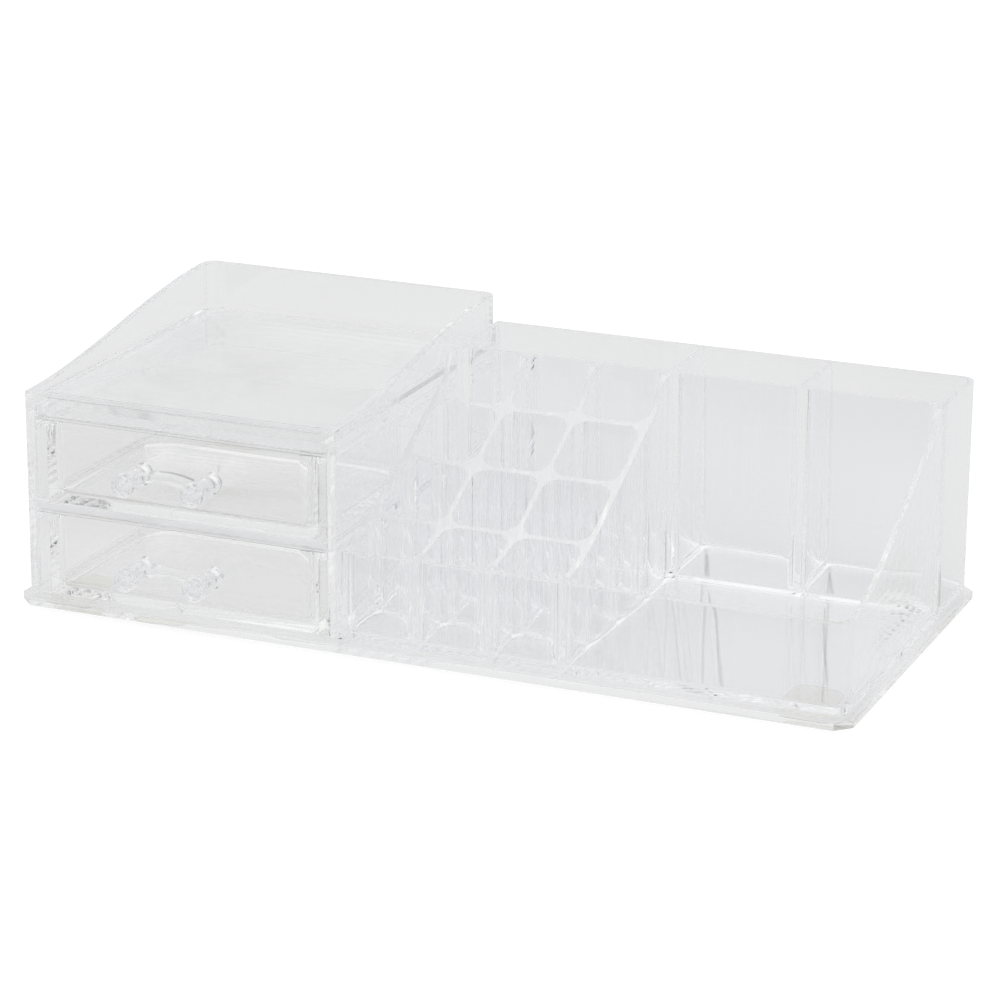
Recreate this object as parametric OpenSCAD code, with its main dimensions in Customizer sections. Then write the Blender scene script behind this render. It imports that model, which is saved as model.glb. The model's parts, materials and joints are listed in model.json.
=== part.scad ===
// Clear moulded make-up organizer: a two-drawer cabinet with an open tray on top,
// beside a moulding of lipstick cells, rear bins and a front tray, both bonded to
// one flanged base plate on four soft feet.
//
// Frame: +X to the right, +Y to the rear, +Z up. The origin is the middle of the
// object's footprint, handles included, on the surface that it stands on.

/* [Base plate] */
// Width of the base plate
base_w = 320; // [300:1:350]
// Depth of the base plate, front to rear
base_d = 153.5; // [148:0.5:175]
// Thickness of the base plate
base_t = 3; // [2:0.1:5]
// Cut across each corner of the base plate
base_cut = 5.5; // [2:0.5:9]
// Ledge of base plate in front of the walls
ledge_front = 6; // [3:0.5:9]
// Ledge of base plate beside the walls
ledge_side = 3; // [1:0.5:6]
// Ledge of base plate behind the walls
ledge_rear = 2.5; // [1:0.5:6]

/* [Feet] */
// Width of a soft foot, the same both ways
foot_w = 21; // [14:0.5:24]
// Corner radius of a soft foot
foot_r = 5; // [3:0.5:6]
// Height of a soft foot
foot_h = 1.8; // [1.2:0.1:4]
// Middle of a foot in from the base plate's side edge
foot_in_x = 18; // [16:0.5:30]
// Middle of a foot in from the base plate's front or rear edge
foot_in_y = 19.5; // [16:0.5:40]

/* [Cabinet] */
// Outer width of the drawer cabinet
cab_w = 124; // [110:1:135]
// Thickness of the cabinet's side and rear walls
cab_wall = 3; // [2:0.1:4]
// Outer radius of the cabinet's rear corners
cab_r = 5; // [2:0.5:8]
// Thickness of the shelf between the drawers
shelf_t = 2.5; // [1.5:0.1:4]
// Depth of the header below the top tray's floor
header_h = 3; // [1.5:0.1:6]
// Thickness of the header and of the top tray's front lip
lip_t = 2.5; // [1.5:0.1:4]
// Thickness of the top tray's floor
tray_floor_t = 2.5; // [1.5:0.1:4]
// Height of the top tray's front lip above its floor
lip_h = 3; // [1:0.5:8]
// Rise of the side walls from the front lip to the rear wall
side_rise = 15; // [5:0.5:30]
// Radius of the top tray's inner corners
tray_r = 6; // [3:0.5:10]

/* [Drawers] */
// Height of a drawer's front plate
drawer_h = 32; // [27:0.5:38]
// Thickness of a drawer's front plate
front_t = 2.6; // [2:0.1:4]
// Corner radius of a drawer's front plate
front_r = 1.6; // [0.8:0.1:4]
// Thickness of a drawer's side and rear walls
drawer_wall = 2.4; // [1.5:0.1:3.5]
// Thickness of a drawer's floor
drawer_floor_t = 2.2; // [1.5:0.1:4]
// Depth of a drawer's box, front plate included
box_d = 79.5; // [60:0.5:120]
// Outer radius of a drawer's rear corners
drawer_r = 13; // [8:0.5:16]
// Inner radius of a drawer's front corners
drawer_front_r = 5; // [5:0.5:8]
// Rounding between a drawer's floor and its walls, inside
drawer_edge = 4; // [1:0.5:4.5]
// Width of the runner along a drawer's side, outside its box
wing_w = 4.2; // [3.2:0.1:7]
// Thickness of the runner
wing_t = 2.4; // [1.5:0.1:4]
// Top of the drawer's walls below the top of its front plate
wall_drop = 1.6; // [0.8:0.1:4]
// Gap above and below a running drawer
run_gap = 0.5; // [0.4:0.1:1]
// Gap beside a running drawer, at its plate and its runners
side_gap = 0.4; // [0.3:0.1:1]
// Gap behind the runners of a closed drawer
rear_gap = 0.7; // [0.4:0.1:3]

/* [Handles] */
// Distance between the two studs of a handle
stud_pitch = 27.5; // [20:0.5:50]
// Reach of a handle in front of the drawer
handle_reach = 18; // [13:0.5:24]
// Radius of a handle's collars and rings
boss_r = 4; // [3.6:0.1:5]
// Radius of a handle's necks
neck_r = 3.2; // [2.8:0.1:3.5]
// Radius of a stud's cap
cap_r = 4.3; // [4:0.1:6]
// Length of a stud's cap
cap_l = 3.9; // [2.5:0.1:5]
// Radius of the hollow in a stud's cap
hollow_r = 3; // [2:0.1:3.2]
// Depth of the hollow in a stud's cap
hollow_d = 1; // [0.4:0.1:1.5]
// Radius of a stud's shank
shank_r = 2.3; // [1.5:0.1:2.5]
// Radial clearance round a stud's shank
shank_gap = 0.06; // [0.04:0.01:0.15]
// Depth of the bow between the studs, front to rear
bow_d = 6; // [3:0.5:8]
// Thickness of the bow, top to bottom
bow_t = 3; // [2:0.1:4]
// Rise of the bow's middle above its ends
bow_rise = 3; // [0.5:0.5:4]

/* [Organizer] */
// Height of the organizer's front rim above the base plate
rim_h = 33; // [26:0.5:38]
// Height of the rear bins above the base plate
bin_h = 81; // [74:0.5:92]
// Thickness of the organizer's outer walls
wall = 2.2; // [1.6:0.1:3]
// Thickness of the organizer's floor
floor_t = 1.8; // [1.2:0.1:3]
// Outer radius of the organizer's right-hand corners
body_r = 5; // [3:0.5:8]
// Depth of the rear bins, inside
bin_d = 34.7; // [28:0.1:40]
// Width of the middle rear bin, inside
mid_bin_w = 48; // [30:0.5:60]
// Inner corner radius of the bins
bin_r = 4.5; // [3:0.5:8]
// Inner corner radius of the front tray
dish_r = 5; // [3:0.5:8]
// Rounding between the floor and the walls of every pocket and of the top tray
floor_edge = 2; // [0.5:0.1:2.5]

/* [Lipstick cells] */
// Columns of cells
cell_cols = 3; // [2:1:3]
// Rows of cells
cell_rows = 4; // [3:1:4]
// Width of a cell, inside
cell_w = 25.9; // [22:0.1:28]
// Depth of a cell, inside, in every row but the last
cell_d = 25.4; // [20:0.1:26.5]
// Thickness of the walls between cells
cell_wall = 1.9; // [1.4:0.1:2.6]
// Inner corner radius of a cell
cell_r = 5.5; // [3:0.5:8]

/* [Sloped rim] */
// Radius of the long curve that lifts the rim from the front
sweep_r = 68; // [50:1:80]
// Radius of the two curves of the shoulder
shoulder_r = 9; // [7:0.5:14]
// Height of the shoulder below the bins' rim
shoulder_h = 10.9; // [6:0.1:14]
// Start of the shoulder in front of the bins
shoulder_l = 16; // [15:0.5:24]

/* [Hidden] */
$fn = 64;

clear = [0.86, 0.88, 0.90, 0.45];    // water-clear moulding
clear_drawer = [0.90, 0.92, 0.94, 0.45];
clear_handle = [0.80, 0.84, 0.88, 0.70];
soft_pad = [0.86, 0.84, 0.74, 0.90]; // faintly yellow soft pad
bond = 0.2;                          // thickness of a bonded seam
over = 1;                            // how far a cut runs past what it cuts
arch_steps = 180;                    // steps of the bow's two large circles

// Plan of the object: left and front edges of the base plate, then the walls.
overhang = handle_reach - ledge_front;
left_x = -base_w / 2;
front_y = (overhang - base_d) / 2;
wall_y = front_y + ledge_front;
rear_y = front_y + base_d - ledge_rear;
cab_x = left_x + ledge_side;
bay_x = cab_x + cab_wall;
bay_w = cab_w - 2 * cab_wall;
bay_rear_y = rear_y - cab_wall;
bay_r = max(cab_r - cab_wall, 0.5);
body_x = cab_x + cab_w + bond;
body_right = left_x + base_w - ledge_side;

// Levels, from the standing surface up.
base_z = foot_h + bond;
deck_z = base_z + base_t;
lower_z = deck_z + run_gap;
shelf_z = lower_z + drawer_h + run_gap;
upper_z = shelf_z + shelf_t + run_gap;
header_z = upper_z + drawer_h + run_gap;
tray_under_z = header_z + header_h;
tray_z = tray_under_z + tray_floor_t;
lip_z = tray_z + lip_h;
seat_z = deck_z + bond;
cup_z = seat_z + floor_t;
rim_z = deck_z + rim_h;
bin_z = deck_z + bin_h;

// Drawer, in its own heights: its underside is 0.
plate_x = bay_x + side_gap;
plate_w = bay_w - 2 * side_gap;
box_x = plate_x + wing_w;
box_w = plate_w - 2 * wing_w;
plate_rear_y = wall_y + front_t;
box_rear_y = wall_y + box_d;
wall_top = drawer_h - wall_drop;
runner_w = wing_w + drawer_wall;
runner_end_y = bay_rear_y - rear_gap - bay_r;
stud_xs = [for (s = [-1, 1]) plate_x + plate_w / 2 + s * stud_pitch / 2];
stud_h = drawer_h / 2;

// Guide ribs on the cabinet's walls, above the drawers' runners.
rib_w = wing_w - side_gap;

// Handle, from the drawer's face forward.
boss_l = handle_reach - cap_l - 2 * bond;
ring_l = bow_d + 1;
collar_l = 2.5;
cap_edge = 0.6;

// Organizer: bins, cells and front tray.
bin_front_y = rear_y - wall - bin_d;
bins_y = bin_front_y - wall;
cell_x = body_x + wall;
cell_y = wall_y + wall;
rack_right = cell_x + cell_cols * (cell_w + cell_wall) - cell_wall;
dish_x = rack_right + wall;
dish_right = body_right - wall;

// Rim of the organizer, seen from the side: level at the front, a long hollow
// curve of sweep_r, a straight ramp tangent to it, and a shoulder of two equal
// curves up to the level rim of the bins.
sweep_y = cell_y;
ramp_y = bins_y - shoulder_l;
ramp_z = bin_z - shoulder_h;
sweep_span = norm([ramp_y - sweep_y, ramp_z - rim_z - sweep_r]);
ramp_angle = atan2(ramp_z - rim_z - sweep_r, ramp_y - sweep_y) + asin(sweep_r / sweep_span);
turn_r = max(shoulder_r, shoulder_h / (1 + cos(ramp_angle)));
turn_angle = acos((turn_r * (1 + cos(ramp_angle)) - shoulder_h) / (2 * turn_r));

// Points of a curve of radius r whose slope goes from angle a to angle b,
// starting at p. A negative r bends it downward.
function bend(p, r, a, b, n = 12) =
    [for (i = [0 : n]) let (t = a + (b - a) * i / n)
        p + r * [sin(t) - sin(a), cos(a) - cos(t)]];
function last(list) = list[len(list) - 1];

sweep_pts = bend([sweep_y, rim_z], sweep_r, 0, ramp_angle);
hollow_pts = bend([ramp_y, ramp_z], turn_r, ramp_angle, turn_angle, 8);
crown_pts = bend(last(hollow_pts), -turn_r, turn_angle, 0, 8);
body_side = concat(
    [[wall_y - over, seat_z], [wall_y - over, rim_z]],
    sweep_pts, hollow_pts, crown_pts,
    [[rear_y + over, last(crown_pts)[1]], [rear_y + over, seat_z]]);

// Side of the cabinet: the top edge rises in one smooth S from lip to rear wall.
function smooth(u) = u * u * (3 - 2 * u);
swell_steps = 28;
swell_l = bay_rear_y - wall_y;
cab_side = concat(
    [[wall_y, seat_z]],
    [for (i = [0 : swell_steps]) let (u = i / swell_steps)
        [wall_y + u * swell_l, lip_z + side_rise * smooth(u)]],
    [[rear_y + over, lip_z + side_rise], [rear_y + over, seat_z]]);

// ---------- Shared shapes ----------

// What a corner of radius r leaves over: a square less its quarter circle.
module corner_offcut(r) {
    difference() {
        translate([-over, -over]) square(r + over);
        translate([r, r]) circle(r);
    }
}

// A plan from x0 to x1 and y0 to y1 with four corner radii, front left first and
// then round anticlockwise. A radius of 0 leaves that corner square.
module plan(x0, x1, y0, y1, radii) {
    difference() {
        translate([x0, y0]) square([x1 - x0, y1 - y0]);
        if (radii[0] > 0) translate([x0, y0]) corner_offcut(radii[0]);
        if (radii[1] > 0) translate([x1, y0]) rotate(90) corner_offcut(radii[1]);
        if (radii[2] > 0) translate([x1, y1]) rotate(180) corner_offcut(radii[2]);
        if (radii[3] > 0) translate([x0, y1]) rotate(270) corner_offcut(radii[3]);
    }
}

// Half of a tub's section: r from its middle to its wall, h high, its lower
// edge rounded by e.
module half_section(r, e, h) {
    square([r - e, h]);
    translate([0, e]) square([r, h - e]);
    intersection() {
        translate([r - e, e]) circle(e);
        square([r, e]);
    }
}

// A whole section, 2 * r wide.
module full_section(r, e, h) {
    half_section(r, e, h);
    mirror([1, 0]) half_section(r, e, h);
}

// A block from x0 to x1 and y0 to y1, up from z, with corner radius r and its
// lower edges rounded by e: four turned corners and two bars that cross. It is
// a foot's pad as well as the inside of every pocket.
module tub(x0, x1, y0, y1, r, e, z, h) {
    for (x = [x0 + r, x1 - r], y = [y0 + r, y1 - r])
        translate([x, y, z]) rotate_extrude() half_section(r, e, h);
    translate([x0 + r, (y0 + y1) / 2, z]) rotate([90, 0, 90])
        linear_extrude(x1 - x0 - 2 * r) full_section((y1 - y0) / 2, e, h);
    translate([(x0 + x1) / 2, y1 - r, z]) rotate([90, 0, 0])
        linear_extrude(y1 - y0 - 2 * r) full_section((x1 - x0) / 2, e, h);
}

// A pocket of one corner radius, open upward from height z.
module pocket(x0, x1, y0, y1, r, z) {
    tub(x0, x1, y0, y1, r, floor_edge, z, lip_z + side_rise + bin_z);
}

// A solid of side view pts, given as [y, z], from x0 over the width w.
module side_prism(pts, x0, w) {
    translate([x0, 0, 0]) rotate([90, 0, 90]) linear_extrude(w) polygon(pts);
}

// A block from corner p to corner q.
module block(p, q) {
    translate(p) cube(q - p);
}

// A turned shape of outline pts, given as [radius, distance], whose axis runs
// forward from the point [x, y, z].
module turned_forward(pts, x, y, z) {
    translate([x, y, z]) rotate([90, 0, 0]) rotate_extrude() polygon(pts);
}

// ---------- Base ----------

module base_plate() {
    right_x = left_x + base_w;
    back_y = front_y + base_d;
    c = base_cut;
    color(clear) translate([0, 0, base_z]) linear_extrude(base_t) polygon([
        [left_x + c, front_y], [right_x - c, front_y],
        [right_x, front_y + c], [right_x, back_y - c],
        [right_x - c, back_y], [left_x + c, back_y],
        [left_x, back_y - c], [left_x, front_y + c]]);
}

// A soft foot: a low square pad with round corners and a rounded lower edge.
module foot(side, end) {
    x = side * (base_w / 2 - foot_in_x);
    y = front_y + base_d / 2 + end * (base_d / 2 - foot_in_y);
    half = foot_w / 2;
    color(soft_pad)
        tub(x - half, x + half, y - half, y + half, foot_r, foot_h / 2, 0, foot_h);
}

// ---------- Organizer ----------

// The lipstick cells: cell_rows rows of cell_cols pockets. The last row takes
// the depth that is left in front of the bins.
module cells() {
    for (col = [0 : cell_cols - 1], row = [0 : cell_rows - 1]) {
        x = cell_x + col * (cell_w + cell_wall);
        y = cell_y + row * (cell_d + cell_wall);
        y_end = row == cell_rows - 1 ? bins_y : y + cell_d;
        pocket(x, x + cell_w, y, y_end, cell_r, cup_z);
    }
}

// The rear bins: a long one behind the cells and two behind the front tray.
module bins() {
    y_end = rear_y - wall;
    mid_end = dish_x + mid_bin_w;
    pocket(cell_x, rack_right, bin_front_y, y_end, bin_r, cup_z);
    pocket(dish_x, mid_end, bin_front_y, y_end, bin_r, cup_z);
    pocket(mid_end + wall, dish_right, bin_front_y, y_end, bin_r, cup_z);
}

// One moulding: a solid of the plan and the side view, hollowed by its pockets.
module organizer_body() {
    color(clear) difference() {
        intersection() {
            translate([0, 0, seat_z]) linear_extrude(bin_z - seat_z)
                plan(body_x, body_right, wall_y, rear_y, [0, body_r, body_r, 0]);
            side_prism(body_side, body_x - over, body_right - body_x + 2 * over);
        }
        cells();
        bins();
        pocket(dish_x, dish_right, cell_y, bins_y, dish_r, cup_z);
    }
}

// ---------- Cabinet ----------

// A rib along a side wall: it carries what is above it and holds the runner of
// the drawer below it down. from_z and to_z are its lower and upper faces.
module guide_ribs(from_z, to_z) {
    for (x = [bay_x - over, bay_x + bay_w - rib_w])
        block([x, plate_rear_y + 1, from_z], [x + rib_w + over, bay_rear_y + over, to_z]);
}

// Walls, header and top tray in one moulding. The bay is open at the front and
// below, where the base plate closes it.
module cabinet_shell() {
    color(clear) {
        difference() {
            intersection() {
                translate([0, 0, seat_z]) linear_extrude(lip_z + side_rise - seat_z)
                    plan(cab_x, cab_x + cab_w, wall_y, rear_y, [0, 0, cab_r, cab_r]);
                side_prism(cab_side, cab_x - over, cab_w + 2 * over);
            }
            pocket(bay_x, bay_x + bay_w, wall_y + lip_t, bay_rear_y, tray_r, tray_z);
            translate([0, 0, seat_z - over]) linear_extrude(header_z - seat_z + over)
                plan(bay_x, bay_x + bay_w, wall_y - over, bay_rear_y, [0, 0, bay_r, bay_r]);
            translate([0, 0, header_z - over]) linear_extrude(header_h + over)
                plan(bay_x, bay_x + bay_w, wall_y + lip_t, bay_rear_y, [0, 0, bay_r, bay_r]);
        }
        intersection() {
            union() {
                guide_ribs(lower_z + wall_top + run_gap, shelf_z - bond);
                guide_ribs(upper_z + wall_top + run_gap, tray_under_z + over);
            }
            block([bay_x - over, wall_y, seat_z],
                  [bay_x + bay_w + over, bay_rear_y + over, tray_z - over]);
        }
    }
}

// The shelf lies on the lower pair of ribs, bonded to the walls.
module cabinet_shelf() {
    color(clear) translate([0, 0, shelf_z]) linear_extrude(shelf_t)
        plan(bay_x + bond, bay_x + bay_w - bond, wall_y, bay_rear_y - bond,
             [0, 0, bay_r, bay_r]);
}

// ---------- Drawers ----------

// The inside of a drawer: small radii in front, large ones at the rear. It is two
// tubs that overlap, each of one radius.
module drawer_inside() {
    rear_r = drawer_r - drawer_wall;
    x0 = box_x + drawer_wall;
    x1 = box_x + box_w - drawer_wall;
    rear_wall_y = box_rear_y - drawer_wall;
    tub(x0, x1, plate_rear_y, rear_wall_y - rear_r - over, drawer_front_r, drawer_edge,
        drawer_floor_t, drawer_h);
    tub(x0, x1, plate_rear_y + drawer_front_r + over, rear_wall_y, rear_r, drawer_edge,
        drawer_floor_t, drawer_h);
}

// A drawer whose underside is at height z: front plate, box, and the two runners
// that reach to the cabinet's rear and keep the open drawer level.
module drawer(z) {
    bore_r = shank_r + shank_gap;
    color(clear_drawer) translate([0, 0, z]) difference() {
        union() {
            translate([0, plate_rear_y, 0]) rotate([90, 0, 0]) linear_extrude(front_t)
                plan(plate_x, plate_x + plate_w, 0, drawer_h, [front_r, front_r, front_r, front_r]);
            linear_extrude(wall_top)
                plan(box_x, box_x + box_w, plate_rear_y - front_t / 2, box_rear_y,
                     [0, 0, drawer_r, drawer_r]);
            for (x = [plate_x, plate_x + plate_w - runner_w])
                block([x, plate_rear_y - front_t / 2, wall_top - wing_t],
                      [x + runner_w, runner_end_y, wall_top]);
        }
        drawer_inside();
        for (x = stud_xs)
            translate([x, plate_rear_y + over, stud_h]) rotate([90, 0, 0])
                cylinder(h = front_t + 2 * over, r = bore_r);
    }
}

// ---------- Handles ----------

// A handle's leg: a collar on the drawer, a neck, and the ring that carries the
// bow, bored for the stud.
module leg(x, z) {
    bore_r = shank_r + shank_gap;
    turned_forward([
        [bore_r, bond], [boss_r, bond], [boss_r, collar_l], [neck_r, collar_l + 1],
        [neck_r, boss_l - ring_l - 1], [boss_r, boss_l - ring_l], [boss_r, boss_l],
        [bore_r, boss_l]], x, wall_y, z);
}

// The bow between the two rings: a flat bar that arches upward. Its side view is
// the band between two circles of one centre.
module bow(z) {
    half = stud_pitch / 2;
    arch_r = (half * half + bow_rise * bow_rise) / (2 * bow_rise);
    mid_x = plate_x + plate_w / 2;
    axis_z = z - arch_r + bow_rise;
    translate([mid_x, wall_y - boss_l + (ring_l + bow_d) / 2, axis_z]) rotate([90, 0, 0])
        linear_extrude(bow_d) intersection() {
            difference() {
                circle(arch_r + bow_t / 2, $fn = arch_steps);
                circle(arch_r - bow_t / 2, $fn = arch_steps);
            }
            translate([-half, 0]) square([2 * half, arch_r + bow_t]);
        }
}

module handle_bow(z) {
    bore_r = shank_r + shank_gap;
    color(clear_handle) {
        difference() {
            union() {
                for (x = stud_xs) leg(x, z + stud_h);
                bow(z + stud_h);
            }
            for (x = stud_xs)
                translate([x, wall_y + over, z + stud_h]) rotate([90, 0, 0])
                    cylinder(h = handle_reach + over, r = bore_r);
        }
    }
}

// A stud: a cap with a hollow face in front of the bow's ring, and a shank through
// the leg and the drawer's front plate, flush inside.
module stud(x, z) {
    tip = handle_reach;
    head = tip - cap_l;
    color(clear_handle) translate([x, wall_y, z + stud_h]) rotate([90, 0, 0])
        rotate_extrude() difference() {
            union() {
                translate([0, -front_t]) square([shank_r, front_t + head + over]);
                translate([0, head]) square([cap_r - cap_edge, cap_l]);
                translate([0, head]) square([cap_r, cap_l - cap_edge]);
                translate([cap_r - cap_edge, tip - cap_edge]) circle(cap_edge);
            }
            polygon([[0, tip - hollow_d], [hollow_r * (1 + over / hollow_d), tip + over],
                     [0, tip + over]]);
        }
}

// ---------- Nodes ----------

base_plate();
organizer_body();
cabinet_shell();
cabinet_shelf();
drawer(lower_z);  // lower_drawer
drawer(upper_z);  // upper_drawer
handle_bow(lower_z);  // lower_handle_bow
handle_bow(upper_z);  // upper_handle_bow
stud(stud_xs[0], lower_z);  // lower_stud_left
stud(stud_xs[1], lower_z);  // lower_stud_right
stud(stud_xs[0], upper_z);  // upper_stud_left
stud(stud_xs[1], upper_z);  // upper_stud_right
foot(-1, -1);  // foot_front_left
foot(1, -1);  // foot_front_right
foot(-1, 1);  // foot_rear_left
foot(1, 1);  // foot_rear_right
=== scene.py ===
"""Looks of a clear moulded make-up organizer: polished clear mouldings on a base plate,
two drawers with clear handles, soft pads under the base and the pale studio round them.

Metres throughout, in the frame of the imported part: +X right, +Y rear, +Z up, with the
origin on the standing surface under the middle of the footprint.
"""

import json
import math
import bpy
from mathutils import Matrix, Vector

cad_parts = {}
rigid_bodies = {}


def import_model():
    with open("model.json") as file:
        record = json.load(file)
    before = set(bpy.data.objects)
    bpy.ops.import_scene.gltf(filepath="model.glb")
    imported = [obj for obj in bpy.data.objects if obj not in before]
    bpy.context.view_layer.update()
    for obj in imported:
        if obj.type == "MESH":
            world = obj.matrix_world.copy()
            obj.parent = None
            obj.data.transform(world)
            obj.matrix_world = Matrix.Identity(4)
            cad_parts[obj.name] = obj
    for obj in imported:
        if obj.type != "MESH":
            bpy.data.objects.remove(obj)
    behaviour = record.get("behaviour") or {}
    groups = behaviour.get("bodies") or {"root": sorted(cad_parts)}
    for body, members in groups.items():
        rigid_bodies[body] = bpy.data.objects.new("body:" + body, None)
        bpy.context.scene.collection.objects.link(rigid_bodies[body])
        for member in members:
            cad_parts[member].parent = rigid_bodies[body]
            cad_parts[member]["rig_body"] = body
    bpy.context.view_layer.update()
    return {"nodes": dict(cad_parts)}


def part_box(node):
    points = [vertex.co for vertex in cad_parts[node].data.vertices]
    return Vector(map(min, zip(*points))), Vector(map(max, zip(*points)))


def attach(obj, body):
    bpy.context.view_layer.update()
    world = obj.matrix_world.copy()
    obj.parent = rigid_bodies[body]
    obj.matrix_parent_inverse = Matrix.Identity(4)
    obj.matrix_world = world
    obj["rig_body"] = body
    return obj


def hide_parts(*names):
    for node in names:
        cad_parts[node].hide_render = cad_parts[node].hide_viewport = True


bl_info = {
    "name": "Clear Make-up Organizer",
    "version": (1, 1, 0),
    "blender": (4, 5, 0),
    "location": "View3D > Sidebar > Organizer",
    "description": "Gives the packed organizer its clear mouldings, handles, pads and studio",
    "category": "Add Mesh",
}

import bmesh
import bpy
import numpy as np
from bpy.props import FloatProperty, FloatVectorProperty, PointerProperty
from mathutils import Matrix, Vector

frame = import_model()


# ---------- Sizes and colours ----------


class OrganizerPlastic(bpy.types.PropertyGroup):
    """Finish of the clear mouldings."""

    tint: FloatVectorProperty(
        name="Body tint", description="Colour of the clear plastic seen through a wall",
        subtype="COLOR", size=3, default=(0.990, 0.992, 0.998), min=0, max=1)
    drawer_tint: FloatVectorProperty(
        name="Drawer tint", description="Colour of the drawers' plastic",
        subtype="COLOR", size=3, default=(0.992, 0.992, 0.988), min=0, max=1)
    index: FloatProperty(
        name="Index of refraction", description="How strongly the plastic bends light",
        default=1.49, min=1.3, max=1.7)
    edge: FloatProperty(
        name="Edge radius", description="Radius of the edges of plates and boxes",
        default=0.00025, min=0, max=0.001, unit="LENGTH")
    fine_edge: FloatProperty(
        name="Fine edge radius", description="Radius of the edges of cells and handles",
        default=0.00015, min=0, max=0.001, unit="LENGTH")
    flow: FloatProperty(
        name="Flow marks", description="Height of the upright marks that the mould leaves",
        default=0.000015, min=0, max=0.0005, unit="LENGTH")
    crinkle: FloatProperty(
        name="Rim crinkles", description="Height of the crinkles on the sloped rims",
        default=0.00008, min=0, max=0.001, unit="LENGTH")


class OrganizerBonds(bpy.types.PropertyGroup):
    """Solvent bond between the walls and the base plate."""

    width: FloatProperty(
        name="Bond width", description="Mean width of the bond under a wall",
        default=0.0013, min=0.0003, max=0.002, unit="LENGTH")
    spread: FloatProperty(
        name="Unevenness", description="How far the bond's width strays from its mean",
        default=0.6, min=0, max=0.9, subtype="FACTOR")


class OrganizerPads(bpy.types.PropertyGroup):
    """Soft pads under the base plate."""

    colour: FloatVectorProperty(
        name="Pad colour", description="Colour of the soft clear pads",
        subtype="COLOR", size=3, default=(0.965, 0.96, 0.915), min=0, max=1)
    corner: FloatProperty(
        name="Pad corner", description="Corner radius of a pad",
        default=0.005, min=0.002, max=0.008, unit="LENGTH")


class OrganizerStudio(bpy.types.PropertyGroup):
    """Camera and studio."""

    lens: FloatProperty(
        name="Lens", description="Focal length on a 36 mm sensor",
        subtype="DISTANCE_CAMERA", default=135.16, min=20)
    distance: FloatProperty(
        name="Distance", description="From the camera to the point it looks at",
        unit="LENGTH", default=1.3652, min=0.2)
    around: FloatProperty(
        name="Around", description="Turn of the camera to the object's right",
        subtype="ANGLE", default=math.radians(22.911))
    above: FloatProperty(
        name="Above", description="Height of the camera above the horizon",
        subtype="ANGLE", default=math.radians(18.107))
    roll: FloatProperty(
        name="Roll", description="Tilt of the camera about its own line of sight",
        subtype="ANGLE", default=math.radians(0.384))
    target: FloatVectorProperty(
        name="Target", description="Point that the camera looks at",
        subtype="TRANSLATION", size=3, default=(0.00348, -0.00218, 0.04319))
    floor_colour: FloatVectorProperty(
        name="Floor", description="Colour of the floor",
        subtype="COLOR", size=3, default=(0.80, 0.80, 0.80), min=0, max=1)
    # Painted light: a pool of glow on the floor below the object, brighter than beyond it, where the
    # object's shadow falls
    painted_light_below: FloatProperty(
        name="Floor below", description="Level of the floor below the object, through the plastic",
        default=0.98, min=0, max=2)
    floor_far: FloatProperty(
        name="Floor beyond", description="Level of the floor beyond the object, through the plastic",
        default=0.84, min=0, max=2)
    floor_front: FloatProperty(
        name="Floor in front", description="Share of that level left in front of the object",
        default=0.30, min=0, max=1)
    backdrop: FloatProperty(
        name="Backdrop", description="Level of the pale backdrop seen through the plastic",
        default=1.05, min=0, max=2)
    ceiling: FloatProperty(
        name="Ceiling", description="Level of the bright ceiling", default=1.25, min=0, max=4)
    panels: FloatProperty(
        name="Side panels", description="Level of the two side panels", default=1.2, min=0, max=4)
    room: FloatProperty(
        name="Room", description="Level of the room behind the camera",
        default=0.12, min=0, max=1)
    gaps: FloatProperty(
        name="Gaps", description="Level of the dark gaps beside the backdrop",
        default=0.04, min=0, max=1)


# ---------- Nodes ----------


def add(tree, kind, values=None, **settings):
    """Adds a node, with values for its inputs by name or number and its own settings."""
    made = tree.nodes.new(kind)
    for name, value in settings.items():
        setattr(made, name, value)
    for name, value in (values or {}).items():
        made.inputs[name].default_value = value
    return made


def join(tree, *pairs):
    """Links each pair of sockets, from an output to an input."""
    for out, into in pairs:
        tree.links.new(out, into)


def new_group(name, inputs, output):
    """A node group with inputs {name: (socket kind, value)} and one output (name, kind)."""
    group = bpy.data.node_groups.new(name, "ShaderNodeTree")
    for title, (kind, value) in inputs.items():
        socket = group.interface.new_socket(name=title, in_out="INPUT", socket_type=kind)
        socket.default_value = value
    group.interface.new_socket(name=output[0], in_out="OUTPUT", socket_type=output[1])
    return group, add(group, "NodeGroupInput"), add(group, "NodeGroupOutput")


def place(tree, group, values):
    """Puts a node group into a material with its own values."""
    return add(tree, "ShaderNodeGroup", values, node_tree=group)


def surface_marks():
    """Marks in a moulded face: noise on Object coordinates, times Density along each axis,
    so that a low density along one axis draws them out into streaks."""
    group, given, put_out = new_group(
        "surface_marks",
        {"Density": ("NodeSocketVector", (100, 100, 100)),
         "Unevenness": ("NodeSocketFloat", 0.0)},
        ("Height", "NodeSocketFloat"))
    where = add(group, "ShaderNodeTexCoord")
    scaled = add(group, "ShaderNodeVectorMath", operation="MULTIPLY")
    noise = add(group, "ShaderNodeTexNoise", {"Scale": 1.0, "Detail": 1.0, "Roughness": 0.4})
    join(group,
         (where.outputs["Object"], scaled.inputs[0]),
         (given.outputs["Density"], scaled.inputs[1]),
         (scaled.outputs[0], noise.inputs["Vector"]),
         (given.outputs["Unevenness"], noise.inputs["Distortion"]),
         (noise.outputs["Fac"], put_out.inputs["Height"]))
    return group


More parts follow.
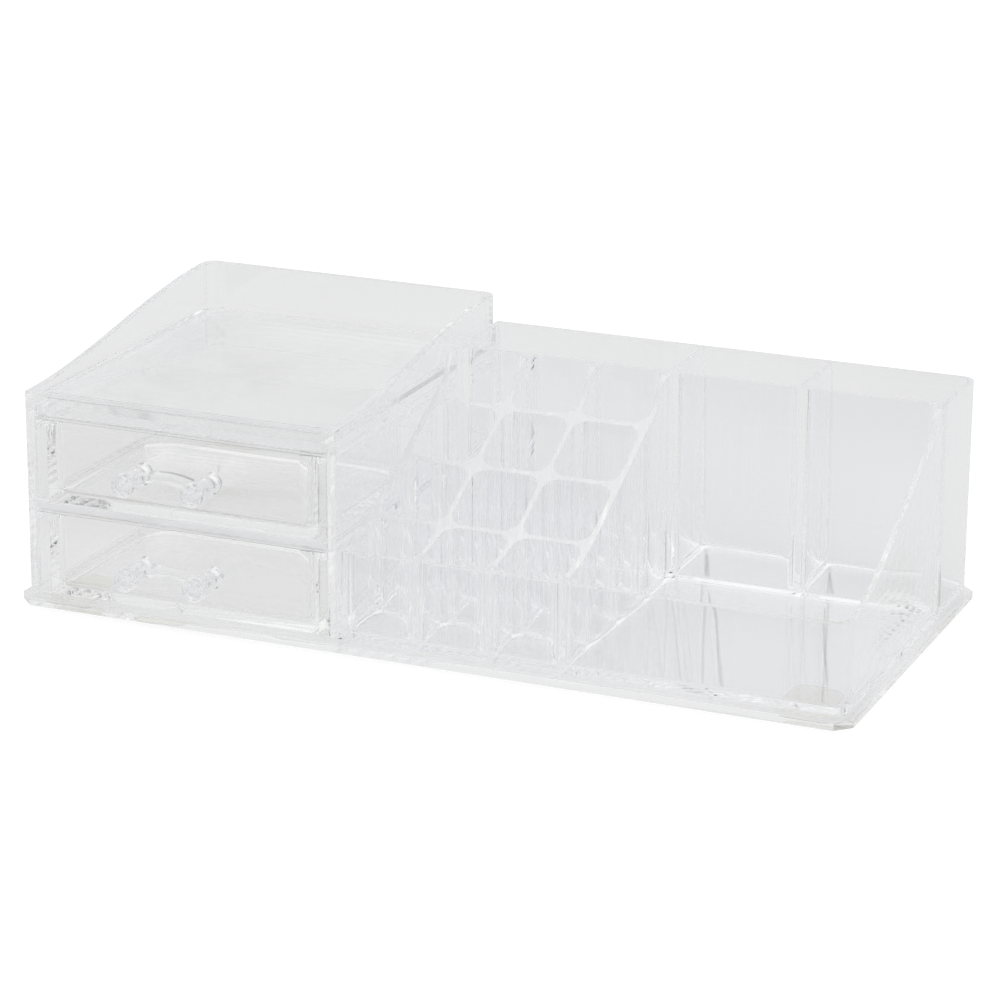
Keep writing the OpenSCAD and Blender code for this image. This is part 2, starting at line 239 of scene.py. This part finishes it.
def handled_faces():
    """Roughness from Clean to Smudged, where hands have been: broad smudges times fine
    wipe marks that run along X."""
    group, given, put_out = new_group(
        "handled_faces",
        {"Clean": ("NodeSocketFloat", 0.0), "Smudged": ("NodeSocketFloat", 0.05)},
        ("Roughness", "NodeSocketFloat"))
    where = add(group, "ShaderNodeTexCoord")
    smudge = add(group, "ShaderNodeTexNoise", {"Scale": 38.0, "Detail": 2.0})
    wiped = add(group, "ShaderNodeMapping", {"Scale": (60, 700, 700)})
    wipes = add(group, "ShaderNodeTexNoise", {"Scale": 1.0, "Detail": 1.0})
    where_smudged = add(group, "ShaderNodeMapRange", {"From Min": 0.45, "From Max": 0.70},
                        interpolation_type="SMOOTHSTEP")
    both = add(group, "ShaderNodeMath", operation="MULTIPLY")
    level = add(group, "ShaderNodeMapRange")
    join(group,
         (where.outputs["Object"], smudge.inputs["Vector"]),
         (where.outputs["Object"], wiped.inputs["Vector"]),
         (wiped.outputs[0], wipes.inputs["Vector"]),
         (smudge.outputs["Fac"], where_smudged.inputs["Value"]),
         (where_smudged.outputs[0], both.inputs[0]),
         (wipes.outputs["Fac"], both.inputs[1]),
         (both.outputs[0], level.inputs["Value"]),
         (given.outputs["Clean"], level.inputs["To Min"]),
         (given.outputs["Smudged"], level.inputs["To Max"]),
         (level.outputs[0], put_out.inputs["Roughness"]))
    return group


def plastic_tone():
    """Tint of the plastic, which drifts a little through the moulding: the tint times a
    level between 1 - Drift and 1 from slow noise."""
    group, given, put_out = new_group(
        "plastic_tone",
        {"Tint": ("NodeSocketColor", (1, 1, 1, 1)), "Drift": ("NodeSocketFloat", 0.01)},
        ("Colour", "NodeSocketColor"))
    where = add(group, "ShaderNodeTexCoord")
    noise = add(group, "ShaderNodeTexNoise", {"Scale": 22.0, "Detail": 1.0})
    amount = add(group, "ShaderNodeMath", operation="MULTIPLY")
    level = add(group, "ShaderNodeMath", {0: 1.0}, operation="SUBTRACT")
    toned = add(group, "ShaderNodeVectorMath", operation="SCALE")
    join(group,
         (where.outputs["Object"], noise.inputs["Vector"]),
         (noise.outputs["Fac"], amount.inputs[0]),
         (given.outputs["Drift"], amount.inputs[1]),
         (amount.outputs[0], level.inputs[1]),
         (given.outputs["Tint"], toned.inputs[0]),
         (level.outputs[0], toned.inputs["Scale"]),
         (toned.outputs[0], put_out.inputs["Colour"]))
    return group


GROUPS = {}


def shared(name):
    """A node group by the name of the function that builds it, built once."""
    if name not in GROUPS:
        builders = {"surface_marks": surface_marks, "handled_faces": handled_faces,
                    "plastic_tone": plastic_tone}
        GROUPS[name] = builders[name]()
    return GROUPS[name]


# ---------- Materials ----------


def fresh_material(name):
    """A material with only its output node."""
    material = bpy.data.materials.new(name)
    material.use_nodes = True
    material.node_tree.nodes.clear()
    output = add(material.node_tree, "ShaderNodeOutputMaterial")
    return material, material.node_tree, output


def clear_plastic(name, tint, density, height, unevenness=0.0, haze=(0.0, 0.03),
                  index=None, drift=0.010, clearness=1.0):
    """Clear plastic with its surface marks, smudges and a tint that drifts. Less clearness
    makes it milky."""
    material, tree, output = fresh_material(name)
    look = bpy.context.scene.organizer_plastic
    shader = add(tree, "ShaderNodeBsdfPrincipled", {
        "Transmission Weight": clearness, "Metallic": 0.0, "IOR": index or look.index})
    marks = place(tree, shared("surface_marks"),
                  {"Density": density, "Unevenness": unevenness})
    bump = add(tree, "ShaderNodeBump", {"Strength": 1.0, "Distance": height})
    hands = place(tree, shared("handled_faces"), {"Clean": haze[0], "Smudged": haze[1]})
    tone = place(tree, shared("plastic_tone"), {"Tint": (*tint, 1), "Drift": drift})
    join(tree,
         (marks.outputs["Height"], bump.inputs["Height"]),
         (bump.outputs["Normal"], shader.inputs["Normal"]),
         (hands.outputs["Roughness"], shader.inputs["Roughness"]),
         (tone.outputs["Colour"], shader.inputs["Base Color"]),
         (shader.outputs["BSDF"], output.inputs["Surface"]))
    return material


# Density of the surface marks along X, Y and Z, in marks per metre
UPRIGHT = (260, 260, 5)        # drawn out along Z, as the mould's walls leave them
LEVEL = (45, 45, 45)           # slow waves in a level sheet
FINE = (520, 520, 520)         # crinkles of about two millimetres
SAWN = (260, 260, 900)         # close lines of the saw
SOFT = (150, 150, 150)         # faces that the mould's polishing doesn't reach
DRAWER = (160, 160, 40)        # waves in the drawers' walls
HANDLE = (300, 300, 300)       # faint dimples in bows, studs and pads

# Height of the marks that no setting covers, in metres
SAW_LINES = 0.00004
BOND_DIMPLES = 0.00002
PAD_DIMPLES = 0.00005
HANDLE_DIMPLES = 0.000003


# ---------- Meshes ----------

TOUCHING = 2e-6                # corners closer than this are one
SHORTEST = 5e-5                # edges shorter than this spoil the rounding
FLAT = math.radians(0.2)       # faces at less than this angle are one flat face
SHARP = math.radians(30)       # edges sharper than this are rounded
CORNER_POINTS = 16             # points in a quarter circle of an outline


def need(node):
    """The CAD object of a node. It has to be there, or the piece can't be made."""
    if node not in frame["nodes"]:
        raise RuntimeError("The frame has no node named " + node)
    return frame["nodes"][node]


def body_of(node):
    """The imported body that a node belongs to."""
    return need(node)["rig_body"]


def show(mesh, name, material, body, slot, *nodes):
    """Puts a mesh into the scene as a piece that rides on body and stands for nodes."""
    piece = bpy.data.objects.new(name, mesh)
    bpy.context.scene.collection.objects.link(piece)
    mesh.materials.append(material)
    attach(piece, body)
    if nodes:
        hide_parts(*nodes)
    return piece


def copy_of(node, name):
    """A copy of a CAD node's mesh as one closed skin, with its flat faces whole and
    without its shortest edges, which would spoil the rounding."""
    skin = bmesh.new()
    skin.from_mesh(need(node).data)
    bmesh.ops.remove_doubles(skin, verts=skin.verts, dist=TOUCHING)
    bmesh.ops.dissolve_limit(skin, angle_limit=FLAT, verts=skin.verts, edges=skin.edges)
    bmesh.ops.remove_doubles(skin, verts=skin.verts, dist=SHORTEST)
    mesh = bpy.data.meshes.new(name)
    skin.to_mesh(mesh)
    skin.free()
    if "custom_normal" in mesh.attributes:
        mesh.attributes.remove(mesh.attributes["custom_normal"])
    mesh.materials.clear()
    return mesh


def moulding(node, slot, material, edge, *finishes):
    """A CAD node with its edges rounded as they leave the mould. Each of finishes is a
    material and a test of a face's middle and normal: faces that pass it get it."""
    mesh = copy_of(node, node + "_moulded")
    piece = show(mesh, node + "_moulded", material, body_of(node), slot, node)
    for finish, _ in finishes:
        mesh.materials.append(finish)
    for polygon in mesh.polygons:
        polygon.use_smooth = True
        for number, (_, passes) in enumerate(finishes, 1):
            if passes(polygon.center, polygon.normal):
                polygon.material_index = number
    rounding = piece.modifiers.new("moulded edges", "BEVEL")
    rounding.width = edge
    rounding.segments = 2
    rounding.limit_method = "ANGLE"
    rounding.angle_limit = SHARP
    rounding.use_clamp_overlap = False
    rounding.loop_slide = False
    rounding.harden_normals = True
    return piece


def outline(x0, x1, y0, y1, radii, count):
    """count points, evenly spaced, round a rectangle with a radius for each corner: front
    left first, then anticlockwise. Each corner is a quarter circle about its own centre,
    and the straight sides join them. Returns the points and their outward normals."""
    centres = ((x0, y0, 1, 1), (x1, y0, -1, 1), (x1, y1, -1, -1), (x0, y1, 1, -1))
    turn = np.linspace(0, math.pi / 2, CORNER_POINTS)
    rough = []
    for number, (x, y, across, back) in enumerate(centres):
        r = radii[number]
        angle = turn + math.pi + number * math.pi / 2
        rough.append(np.stack((x + across * r + r * np.cos(angle),
                               y + back * r + r * np.sin(angle)), 1))
    rough = np.concatenate(rough + [rough[0][:1]])
    far = np.concatenate(([0], np.cumsum(np.linalg.norm(np.diff(rough, axis=0), axis=1))))
    even = np.linspace(0, far[-1], count, endpoint=False)
    points = np.stack([np.interp(even, far, rough[:, k]) for k in (0, 1)], 1)
    along = np.roll(points, -1, 0) - np.roll(points, 1, 0)
    along /= np.linalg.norm(along, axis=1)[:, None]
    return points, np.stack((along[:, 1], -along[:, 0]), 1)


def skin_over(name, rings, closed):
    """A closed skin over rings of points, an array [ring, point, xyz]: a quad between each
    two neighbours on two neighbouring rings. The rings themselves close at the ends, or
    the last ring meets the first where closed."""
    count, around = rings.shape[:2]
    ring = np.arange(count if closed else count - 1)[:, None]
    point = np.arange(around)[None, :]
    after = (ring + 1) % count
    beside = (point + 1) % around
    quads = np.stack((ring * around + point, after * around + point,
                      after * around + beside, ring * around + beside), -1).reshape(-1, 4)
    faces = quads.tolist()
    if not closed:
        faces.append(list(range(around)))
        faces.append([(count - 1) * around + k for k in reversed(range(around))])
    mesh = bpy.data.meshes.new(name)
    mesh.from_pydata(rings.reshape(-1, 3).tolist(), [], faces)
    skin = bmesh.new()
    skin.from_mesh(mesh)
    bmesh.ops.recalc_face_normals(skin, faces=skin.faces)
    skin.to_mesh(mesh)
    skin.free()
    for polygon in mesh.polygons:
        polygon.use_smooth = len(polygon.vertices) == 4
    return mesh


# ---------- Base plate ----------


class OBJECT_OT_organizer_base(bpy.types.Operator):
    """Dress the base plate"""

    bl_idname = "object.organizer_base"
    bl_label = "Base plate"

    def execute(self, context):
        look = context.scene.organizer_plastic
        plate = clear_plastic("clear_plate", look.tint, LEVEL, look.flow * 2)
        moulding("base_plate", "clear_moulding", plate, look.edge)
        return {"FINISHED"}


# ---------- Cells, bins and front tray ----------

RIMS_ABOVE = 0.030             # every sloped rim lies above this height
RIM_SLOPE = (0.25, 0.995)      # upward part of a sloped rim's normal


def rim_finish(look):
    """The crinkled and milky finish of rims that were never polished."""
    return clear_plastic("clear_rim", look.tint, FINE, look.crinkle, unevenness=1.2,
                         haze=(0.0, 0.06), clearness=0.72)


def is_sloped_rim(middle, normal):
    """Whether a face with this middle and normal lies in the S-shaped slope."""
    return middle.z > RIMS_ABOVE and RIM_SLOPE[0] < normal.z < RIM_SLOPE[1]


class OBJECT_OT_organizer_body(bpy.types.Operator):
    """Dress the moulding of lipstick cells, bins and front tray"""

    bl_idname = "object.organizer_body"
    bl_label = "Cells, bins and tray"

    def execute(self, context):
        look = context.scene.organizer_plastic
        walls = clear_plastic("clear_walls", look.tint, UPRIGHT, look.flow * 0.5,
                              unevenness=0.3)
        moulding("organizer_body", "clear_moulding", walls, look.fine_edge,
                 (rim_finish(look), is_sloped_rim))
        return {"FINISHED"}


# ---------- Cabinet ----------

FACING = 0.9                   # a normal with more than this along an axis faces that way
HEADER_DEPTH = 0.004           # the header's underside ends this far behind the front
HEADER_GAP = 0.002             # the header's underside is less than this above the drawer


def sawn_finish(look):
    """The satin of faces that are close to another piece and stay as they left the saw."""
    return clear_plastic("clear_sawn", look.tint, SAWN, SAW_LINES, unevenness=0.4,
                         haze=(0.28, 0.5))


def soft_finish(look, tint):
    """The slightly soft finish of faces that the mould's polishing doesn't reach."""
    return clear_plastic("clear_soft", tint, SOFT, look.flow, unevenness=0.4,
                         haze=(0.10, 0.20))


class OBJECT_OT_organizer_cabinet(bpy.types.Operator):
    """Dress the drawer cabinet and its shelf"""

    bl_idname = "object.organizer_cabinet"
    bl_label = "Cabinet"

    def execute(self, context):
        look = context.scene.organizer_plastic
        shell = clear_plastic("clear_shell", look.tint, UPRIGHT, look.flow * 0.4,
                              unevenness=0.3)
        sheet = clear_plastic("clear_sheet", look.tint, LEVEL, look.flow * 2)
        sawn = sawn_finish(look)
        header_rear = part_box("cabinet_shell")[0][1] + HEADER_DEPTH
        drawer_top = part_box("upper_drawer")[1][2]
        above = drawer_top + HEADER_GAP

        def under_header(middle, normal):
            """Whether a face is the underside of the header."""
            return (normal.z < -FACING and middle.y < header_rear
                    and drawer_top < middle.z < above)

        def under_tray(middle, normal):
            """Whether a face is the underside of the tray on top."""
            return normal.z < -FACING and above < middle.z

        moulding("cabinet_shell", "clear_moulding", shell, look.edge,
                 (sawn, under_header), (soft_finish(look, look.tint), under_tray))
        moulding("cabinet_shelf", "clear_moulding", sheet, look.edge,
                 (sawn, lambda middle, normal: normal.y < -FACING))
        return {"FINISHED"}


# ---------- Drawers ----------

TOP_EDGE = 0.0005              # faces less than this below a drawer's top are its top edge
ROUNDED = (0.1, 0.99)          # upward part of the normals in a rounded floor edge


class OBJECT_OT_organizer_drawers(bpy.types.Operator):
    """Dress the two drawers"""

    bl_idname = "object.organizer_drawers"
    bl_label = "Drawers"

    def execute(self, context):
        look = context.scene.organizer_plastic
        clear = clear_plastic("clear_drawer", look.drawer_tint, DRAWER, look.flow,
                              unevenness=0.2)
        sawn = sawn_finish(look)
        soft = soft_finish(look, look.drawer_tint)
        for node in ("lower_drawer", "upper_drawer"):
            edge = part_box(node)[1][2] - TOP_EDGE
            moulding(node, "clear_drawer", clear, look.edge,
                     (sawn, lambda middle, normal: normal.z > FACING and middle.z > edge),
                     (soft, lambda middle, normal: ROUNDED[0] < normal.z < ROUNDED[1]))
        return {"FINISHED"}


# ---------- Handles ----------


class OBJECT_OT_organizer_handles(bpy.types.Operator):
    """Dress the bows and studs of the two handles"""

    bl_idname = "object.organizer_handles"
    bl_label = "Handles"

    def execute(self, context):
        look = context.scene.organizer_plastic
        clear = clear_plastic("clear_handle", look.tint, HANDLE, HANDLE_DIMPLES,
                              haze=(0.0, 0.02))
        for node in frame["nodes"]:
            if "stud" in node or "bow" in node:
                moulding(node, "clear_handle", clear, look.fine_edge)
        return {"FINISHED"}


# ---------- Bonds ----------

WAVES = ((19, 0.5, 1.0), (47, 0.3, 2.1), (113, 0.2, 3.7))   # waves, share, shift of phase
BOND_POINTS = 900              # points along a bond
BOND_INSET = 0.00015           # from the walls' outer faces to the bond
BOND_OVER = 0.00025            # how far a bond reaches up from the base plate's top
BOND_UNDER = 0.00005           # and how far down into it
FRONT_SLACK = 0.0004           # points closer to the front than this are on the front side
SQUARE = 0.0003                # corner radius of the walls' front corners
ROUND = 0.005                  # and of the round ones


def uneven(count, spread, phase):
    """A factor round 1 along a bond: 1 + spread times the sum of share * sin(waves * at +
    shift * phase), over three sines of whole numbers of waves."""
    at = np.linspace(0, 2 * math.pi, count, endpoint=False)
    wave = sum(share * np.sin(waves * at + shift * phase) for waves, share, shift in WAVES)
    return 1 + spread * wave


def bond_under(name, walls, radii, material, front, phase):
    """The bond under the walls of a moulding: a strip of uneven width that runs just inside
    their outer faces and joins them to the base plate. Where front is false it leaves
    out the front side."""
    look = bpy.context.scene.organizer_bonds
    low, high = walls
    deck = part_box("base_plate")[1][2]
    points, outward = outline(low[0], high[0], low[1], high[1], radii, BOND_POINTS)
    width = look.width * uneven(BOND_POINTS, look.spread, phase)
    if not front:
        kept = points[:, 1] > low[1] + FRONT_SLACK
        first = int(np.argmax(kept & ~np.roll(kept, 1)))
        order = (np.arange(int(kept.sum())) + first) % BOND_POINTS
        points, outward, width = points[order], outward[order], width[order]
    outer = points - outward * BOND_INSET
    inner = outer - outward * width[:, None]
    top = np.full(len(points), deck + BOND_OVER)
    bottom = np.full(len(points), deck - BOND_UNDER)
    rings = np.stack((np.column_stack((outer, top)), np.column_stack((inner, top)),
                      np.column_stack((inner, bottom)), np.column_stack((outer, bottom))), 1)
    mesh = skin_over(name, rings, front)
    for polygon in mesh.polygons:
        polygon.use_smooth = False
    return show(mesh, name, material, "frame", "clear_moulding")


class OBJECT_OT_organizer_bonds(bpy.types.Operator):
    """Bond the two mouldings to the base plate"""

    bl_idname = "object.organizer_bonds"
    bl_label = "Bonds"

    def execute(self, context):
        look = context.scene.organizer_plastic
        clear = clear_plastic("clear_bond", look.tint, FINE, BOND_DIMPLES, haze=(0.0, 0.1))
        bond_under("body_bond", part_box("organizer_body"), (SQUARE, ROUND, ROUND, SQUARE),
                   clear, front=True, phase=0.4)
        bond_under("cabinet_bond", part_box("cabinet_shell"), (SQUARE, SQUARE, ROUND, ROUND),
                   clear, front=False, phase=1.9)
        return {"FINISHED"}


# ---------- Pads ----------

PAD_POINTS = 96                # points round a pad
PAD_SWELL = 0.0002             # how far a pad's side swells out between its ends
PAD_OVER = 0.00025             # how far a pad reaches up into the gap under the plate
PAD_CLEAR = 0.00002            # between a pad and the floor
LOWER_EDGE = 0.45              # radius of a pad's lower edge, as a share of its height
LEAST_CORNER = 0.001           # least corner radius of a ring


def pad(node, corner, material):
    """A soft pad that has settled: rings of a square with round corners, from its top down.
    Its side swells by a sine, and its lower edge is a quarter circle."""
    low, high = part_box(node)
    tall = high[2] - low[2]
    edge = tall * LOWER_EDGE
    fall = np.linspace(0, math.pi / 2, 9)
    heights = np.concatenate((np.linspace(high[2] + PAD_OVER, low[2] + edge, 6)[:-1],
                              low[2] + edge * (1 - np.sin(fall)) + PAD_CLEAR))
    swell = PAD_SWELL * (1 - np.sin(np.linspace(0, math.pi, 5)))
    inset = np.concatenate((swell, edge * (1 - np.cos(fall))))
    rings = []
    for height, shift in zip(heights, inset):
        points, _ = outline(low[0] + shift, high[0] - shift, low[1] + shift, high[1] - shift,
                            [max(corner - shift, LEAST_CORNER)] * 4, PAD_POINTS)
        rings.append(np.column_stack((points, np.full(len(points), height))))
    mesh = skin_over(node + "_pad", np.array(rings), False)
    return show(mesh, node + "_pad", material, body_of(node), "soft_foot", node)


class OBJECT_OT_organizer_pads(bpy.types.Operator):
    """Put the soft pads under the base plate"""

    bl_idname = "object.organizer_pads"
    bl_label = "Pads"

    def execute(self, context):
        look = context.scene.organizer_pads
        soft = clear_plastic("soft_pad", look.colour, HANDLE, PAD_DIMPLES, unevenness=0.5,
                             haze=(0.05, 0.15), index=1.45, drift=0.03)
        for node in frame["nodes"]:
            if "foot" in node:
                pad(node, look.corner, soft)
        return {"FINISHED"}


# ---------- Studio ----------

# Where the parts of the world begin and are full, as parts of the direction
CEILING_SLOPE = (0, -0.25, 1)  # the ceiling comes down towards the front
CEILING = (0.28, 0.38)
ROOM = (-0.2, 0.1)
BACKDROP = (0.62, 0.72)
PANELS = (0.78, 0.86)

FOOTPRINT = (0.16, 0.083)      # half the object's width and depth
BEYOND = (0.9, 1.3)            # from the painted pool of light below the object to the floor beyond it, in footprints
IN_FRONT = (-0.20, -0.11)      # where the floor in front gives out, along Y
WHITE = 1.2                    # level of the floor to the camera
GLOW = 0.75                    # share of the floor's own light against its paint
FLOOR_HALF = 6.0               # half the floor's side
BOUNCES = 256                  # light passes through dozens of walls


def camera_matrix(studio):
    """The camera's place: it looks at the target from around and above it, and rolls."""
    a, e = studio.around, studio.above
    back = Vector((math.sin(a) * math.cos(e), -math.cos(a) * math.cos(e), math.sin(e)))
    right = (-back).cross(Vector((0, 0, 1))).normalized()
    up = right.cross(-back)
    c, s = math.cos(studio.roll), math.sin(studio.roll)
    turned_right = right * c + up * s
    turned_up = up * c - right * s
    matrix = Matrix((turned_right, turned_up, back)).transposed().to_4x4()
    matrix.translation = Vector(studio.target) + back * studio.distance
    return matrix


def studio_world(studio):
    """White to the camera. To the plastic it is a pale backdrop at the rear, a bright
    ceiling that comes down towards the front, two side panels and a darker room behind
    the camera."""
    world = bpy.data.worlds.new("studio")
    bpy.context.scene.world = world
    world.use_nodes = True
    tree = world.node_tree
    tree.nodes.clear()
    output = add(tree, "ShaderNodeOutputWorld")
    rays = add(tree, "ShaderNodeLightPath")
    where = add(tree, "ShaderNodeTexCoord")
    axes = add(tree, "ShaderNodeSeparateXYZ")
    join(tree, (where.outputs["Generated"], axes.inputs[0]))

    def band(axis, limits, start, end):
        """A level that goes smoothly from start to end with one part of the direction."""
        part = add(tree, "ShaderNodeMapRange", {
            "From Min": limits[0], "From Max": limits[1], "To Min": start, "To Max": end},
            interpolation_type="SMOOTHSTEP")
        join(tree, (axis, part.inputs["Value"]))
        return part.outputs["Result"]

    def brighter(a, b):
        """The brighter of two levels."""
        most = add(tree, "ShaderNodeMath", operation="MAXIMUM")
        join(tree, (a, most.inputs[0]), (b, most.inputs[1]))
        return most.outputs[0]

    side = add(tree, "ShaderNodeMath", operation="ABSOLUTE")
    join(tree, (axes.outputs["X"], side.inputs[0]))
    level = brighter(band(axes.outputs["Y"], ROOM, studio.room, studio.gaps),
                     band(axes.outputs["Y"], BACKDROP, 0, studio.backdrop))
    slope = add(tree, "ShaderNodeVectorMath", {1: CEILING_SLOPE}, operation="DOT_PRODUCT")
    join(tree, (where.outputs["Generated"], slope.inputs[0]))
    level = brighter(level, band(slope.outputs["Value"], CEILING, 0, studio.ceiling))
    level = brighter(level, band(side.outputs[0], PANELS, 0, studio.panels))
    room = add(tree, "ShaderNodeBackground")
    white = add(tree, "ShaderNodeBackground", {"Color": (1, 1, 1, 1)})
    mix = add(tree, "ShaderNodeMixShader")
    join(tree,
         (level, room.inputs["Strength"]),
         (rays.outputs["Is Camera Ray"], mix.inputs[0]),
         (room.outputs[0], mix.inputs[1]),
         (white.outputs[0], mix.inputs[2]),
         (mix.outputs[0], output.inputs["Surface"]))


def floor_material(studio):
    """A pale floor that shows white round the object and keeps its shadow. Through the
    plastic it glows at one level below the object, a pool of painted light where the
    object's shadow falls, and at another level beyond it: the distance is the length of
    (x, y) with each divided by half the footprint, so it is 1 round the footprint. In front
    of the object it falls off, as a white sheet that ends there would."""
    material, tree, output = fresh_material("floor")
    rays = add(tree, "ShaderNodeLightPath")
    paint = add(tree, "ShaderNodeBsdfDiffuse", {"Color": (*studio.floor_colour, 1)})
    where = add(tree, "ShaderNodeTexCoord")
    shares = add(tree, "ShaderNodeVectorMath", {1: (1 / FOOTPRINT[0], 1 / FOOTPRINT[1], 0)},
                 operation="MULTIPLY")
    far = add(tree, "ShaderNodeVectorMath", operation="LENGTH")
    # painted pool of light: the floor glows brighter below the object than beyond it
    falls = add(tree, "ShaderNodeMapRange", {
        "From Min": BEYOND[0], "From Max": BEYOND[1], "To Min": studio.painted_light_below,
        "To Max": studio.floor_far}, interpolation_type="SMOOTHSTEP")
    glow = add(tree, "ShaderNodeEmission", {"Color": (1, 1, 1, 1)})
    both = add(tree, "ShaderNodeMixShader", {0: GLOW})
    level = add(tree, "ShaderNodeMath", {1: WHITE}, operation="MULTIPLY")
    axes = add(tree, "ShaderNodeSeparateXYZ")
    ends = add(tree, "ShaderNodeMapRange", {
        "From Min": IN_FRONT[0], "From Max": IN_FRONT[1], "To Min": studio.floor_front,
        "To Max": 1.0}, interpolation_type="SMOOTHSTEP")
    left = add(tree, "ShaderNodeMath", operation="MULTIPLY")
    through = add(tree, "ShaderNodeMath", operation="MULTIPLY")
    seen = add(tree, "ShaderNodeMath", operation="MAXIMUM")
    total = add(tree, "ShaderNodeMath", operation="ADD")
    join(tree,
         (rays.outputs["Is Camera Ray"], level.inputs[0]),
         (rays.outputs["Is Glossy Ray"], seen.inputs[0]),
         (rays.outputs["Is Transmission Ray"], seen.inputs[1]),
         (seen.outputs[0], through.inputs[0]),
         (where.outputs["Object"], shares.inputs[0]),
         (shares.outputs[0], far.inputs[0]),
         (far.outputs["Value"], falls.inputs["Value"]),
         (where.outputs["Object"], axes.inputs[0]),
         (axes.outputs["Y"], ends.inputs["Value"]),
         (falls.outputs[0], left.inputs[0]),
         (ends.outputs[0], left.inputs[1]),
         (left.outputs[0], through.inputs[1]),
         (level.outputs[0], total.inputs[0]),
         (through.outputs[0], total.inputs[1]),
         (total.outputs[0], glow.inputs["Strength"]),
         (paint.outputs[0], both.inputs[1]),
         (glow.outputs[0], both.inputs[2]),
         (both.outputs[0], output.inputs["Surface"]))
    return material


class OBJECT_OT_organizer_studio(bpy.types.Operator):
    """Set up the camera, the floor and the light"""

    bl_idname = "object.organizer_studio"
    bl_label = "Studio"

    def execute(self, context):
        studio = context.scene.organizer_studio
        camera = bpy.data.objects.new("camera", bpy.data.cameras.new("camera"))
        context.scene.collection.objects.link(camera)
        camera.data.lens = studio.lens
        camera.data.sensor_width = 36
        camera.data.clip_end = 50
        camera.matrix_world = camera_matrix(studio)
        context.scene.camera = camera

        mesh = bpy.data.meshes.new("floor")
        signs = ((-1, -1), (1, -1), (1, 1), (-1, 1))
        mesh.from_pydata([(x * FLOOR_HALF, y * FLOOR_HALF, 0) for x, y in signs],
                         [], [(0, 1, 2, 3)])
        floor = bpy.data.objects.new("floor", mesh)
        context.scene.collection.objects.link(floor)
        mesh.materials.append(floor_material(studio))

        studio_world(studio)
        context.scene.view_settings.view_transform = "Standard"
        cycles = context.scene.cycles
        cycles.max_bounces = BOUNCES
        cycles.transmission_bounces = BOUNCES
        cycles.glossy_bounces = BOUNCES
        return {"FINISHED"}


# ---------- Add-on ----------

STEPS = (OBJECT_OT_organizer_base, OBJECT_OT_organizer_body, OBJECT_OT_organizer_cabinet,
         OBJECT_OT_organizer_drawers, OBJECT_OT_organizer_handles,
         OBJECT_OT_organizer_bonds, OBJECT_OT_organizer_pads, OBJECT_OT_organizer_studio)

SETTINGS = {"organizer_plastic": OrganizerPlastic, "organizer_bonds": OrganizerBonds,
            "organizer_pads": OrganizerPads, "organizer_studio": OrganizerStudio}


class VIEW3D_PT_organizer(bpy.types.Panel):
    """Lists the organizer's pieces and its studio"""

    bl_label = "Make-up organizer"
    bl_idname = "VIEW3D_PT_organizer"
    bl_space_type = "VIEW_3D"
    bl_region_type = "UI"
    bl_category = "Organizer"

    def draw(self, context):
        for step in STEPS:
            self.layout.operator(step.bl_idname)


CLASSES = (*SETTINGS.values(), *STEPS, VIEW3D_PT_organizer)


def register():
    for each in CLASSES:
        bpy.utils.register_class(each)
    for name, kind in SETTINGS.items():
        setattr(bpy.types.Scene, name, PointerProperty(type=kind))


def unregister():
    for name in SETTINGS:
        delattr(bpy.types.Scene, name)
    for each in reversed(CLASSES):
        bpy.utils.unregister_class(each)


def main():
    register()
    bpy.ops.object.organizer_base()
    bpy.ops.object.organizer_body()
    bpy.ops.object.organizer_cabinet()
    bpy.ops.object.organizer_drawers()
    bpy.ops.object.organizer_handles()
    bpy.ops.object.organizer_bonds()
    bpy.ops.object.organizer_pads()
    bpy.ops.object.organizer_studio()


if __name__ == "__main__":
    main()
